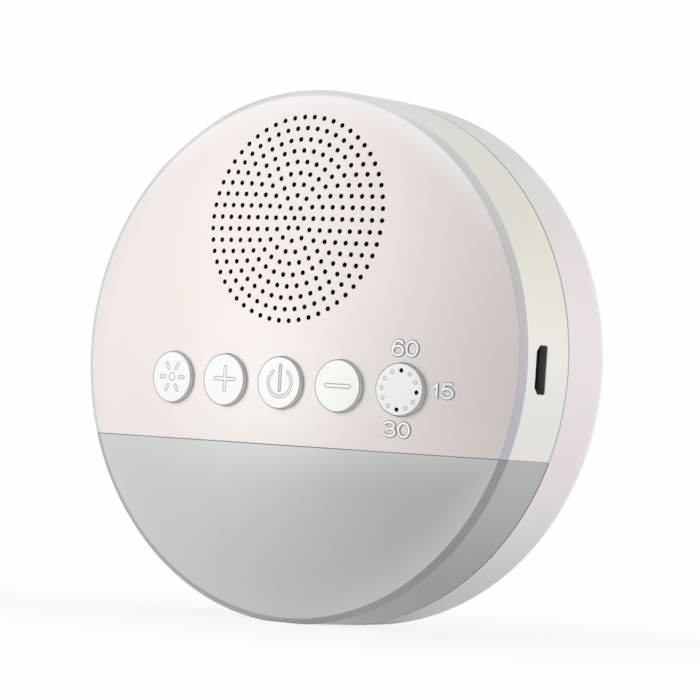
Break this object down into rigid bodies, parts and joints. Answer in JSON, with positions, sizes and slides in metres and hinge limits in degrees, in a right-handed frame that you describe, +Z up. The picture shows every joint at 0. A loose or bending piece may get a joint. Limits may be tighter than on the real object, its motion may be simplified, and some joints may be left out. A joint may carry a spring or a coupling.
{
  "type": "white noise sound machine",
  "caption": "Round bedside white noise machine on its side: perforated speaker face, row of push buttons, night light lens across the lower front, micro USB charging port",
  "frame": {"origin": "middle of the footprint: centre of the object in X and Y, at the level of the flat that it stands on", "axes": "+Z up, -Y the way the domed face looks, +X to the right as the user sees it; the drum's axis runs along Y"},
  "size_m": [0.0964, 0.0358, 0.0961],
  "materials": {
    "white_shell": "fine satin moulded ABS, pearly white",
    "lens": "frosted translucent polycarbonate, grey when unlit",
    "back_white": "satin moulded ABS",
    "button_white": "gloss moulded ABS with engraved symbols",
    "black_plastic": "black moulded plastic",
    "connector_plastic": "natural nylon",
    "reflector_white": "matt white reflector plastic",
    "led_package": "white package with clear resin",
    "circuit_board": "green solder mask on glass fibre",
    "steel": "zinc or nickel plated steel",
    "aluminium_can": "drawn aluminium can",
    "ferrite": "sintered ferrite",
    "cone_paper": "pressed black paper",
    "copper_winding": "enamelled copper wire",
    "surround_rubber": "thin soft rubber",
    "spider_cloth": "impregnated cotton",
    "acoustic_cloth": "black woven acoustic cloth",
    "gasket_foam": "closed-cell foam",
    "battery_foil": "laminated aluminium pouch",
    "lead_jacket": "flat two-core insulated lead"
  },
  "bodies": {
    "housing": {"front_shell": "white_shell", "night_light_lens": "lens", "back_shell": "back_white", "switch_bodies": "black_plastic", "main_board": "circuit_board", "usb_socket": "steel", "usb_tongue": "black_plastic", "sound_chip": "black_plastic", "amplifier_chip": "black_plastic", "charger_chip": "black_plastic", "memory_chip": "black_plastic", "capacitor": "aluminium_can", "board_connectors": "connector_plastic", "main_board_screws": "steel", "light_tray": "reflector_white", "light_board": "circuit_board", "light_leds": "led_package", "light_board_screws": "steel", "speaker_cloth": "acoustic_cloth", "speaker_gasket": "gasket_foam", "speaker_frame": "steel", "speaker_top_plate": "steel", "speaker_magnet": "ferrite", "speaker_yoke": "steel", "speaker_surround": "surround_rubber", "speaker_spider": "spider_cloth", "speaker_terminals": "circuit_board", "speaker_screws": "steel", "battery_cell": "battery_foil", "battery_foam": "gasket_foam", "speaker_lead": "lead_jacket", "battery_lead": "lead_jacket", "light_lead": "lead_jacket", "case_screws": "steel"},
    "light_key": {"light_button": "button_white", "light_switch_plunger": "black_plastic"},
    "plus_key": {"plus_button": "button_white", "plus_switch_plunger": "black_plastic"},
    "power_key": {"power_button": "button_white", "power_switch_plunger": "black_plastic"},
    "minus_key": {"minus_button": "button_white", "minus_switch_plunger": "black_plastic"},
    "timer_key": {"timer_button": "button_white", "timer_switch_plunger": "black_plastic"},
    "cone_assembly": {"speaker_cone": "cone_paper", "speaker_dust_cap": "cone_paper", "voice_coil": "copper_winding"}
  },
  "joints": [
    {"name": "light_press", "type": "slide", "parent": "housing", "child": "light_key", "axis": [0, 1, 0], "range_m": [0, 0.0005], "stiffness_N_per_m": 3000, "springref_m": -0.0004},
    {"name": "plus_press", "type": "slide", "parent": "housing", "child": "plus_key", "axis": [0, 1, 0], "range_m": [0, 0.0005], "stiffness_N_per_m": 3000, "springref_m": -0.0004},
    {"name": "power_press", "type": "slide", "parent": "housing", "child": "power_key", "axis": [0, 1, 0], "range_m": [0, 0.0005], "stiffness_N_per_m": 3000, "springref_m": -0.0004},
    {"name": "minus_press", "type": "slide", "parent": "housing", "child": "minus_key", "axis": [0, 1, 0], "range_m": [0, 0.0005], "stiffness_N_per_m": 3000, "springref_m": -0.0004},
    {"name": "timer_press", "type": "slide", "parent": "housing", "child": "timer_key", "axis": [0, 1, 0], "range_m": [0, 0.0005], "stiffness_N_per_m": 3000, "springref_m": -0.0004},
    {"name": "cone_stroke", "type": "slide", "parent": "housing", "child": "cone_assembly", "axis": [0, 1, 0], "range_m": [-0.0005, 0.0005], "stiffness_N_per_m": 1500}
  ]
}
